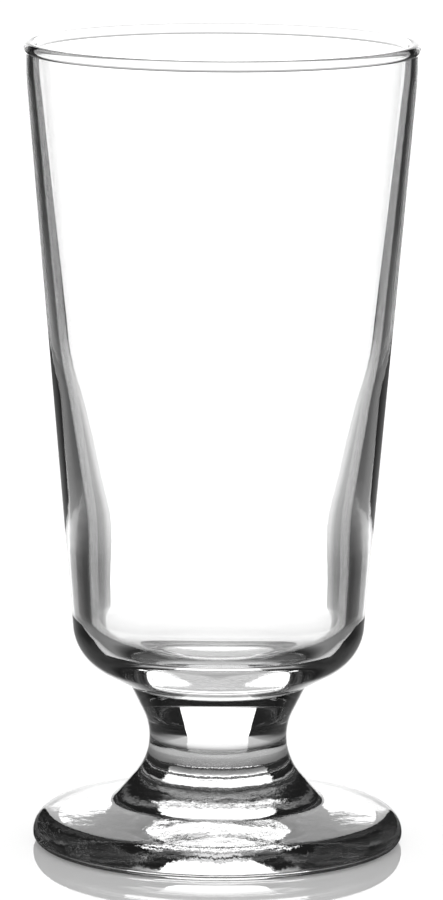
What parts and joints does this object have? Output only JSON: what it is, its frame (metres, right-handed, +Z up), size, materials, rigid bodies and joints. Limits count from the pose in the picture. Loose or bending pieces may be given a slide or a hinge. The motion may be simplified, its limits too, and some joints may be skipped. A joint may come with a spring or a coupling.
{
  "type": "footed highball glass",
  "caption": "Clear footed highball glass: a tall tapered bowl with a beaded rim and thick base, a short waisted stem and a flared round foot.",
  "frame": {"origin": "centre of the bearing ring under the foot, on the surface that the glass stands on", "axes": "+Z up along the axis of the glass; X and Y lie in the plane of the bearing ring and are alike, because the glass is round"},
  "size_m": [0.0738, 0.0738, 0.1515],
  "materials": {
    "clear_glass": "fire-polished clear soda-lime glass"
  },
  "bodies": {
    "root": {"bowl": "clear_glass", "stem": "clear_glass", "foot": "clear_glass"}
  },
  "joints": []
}
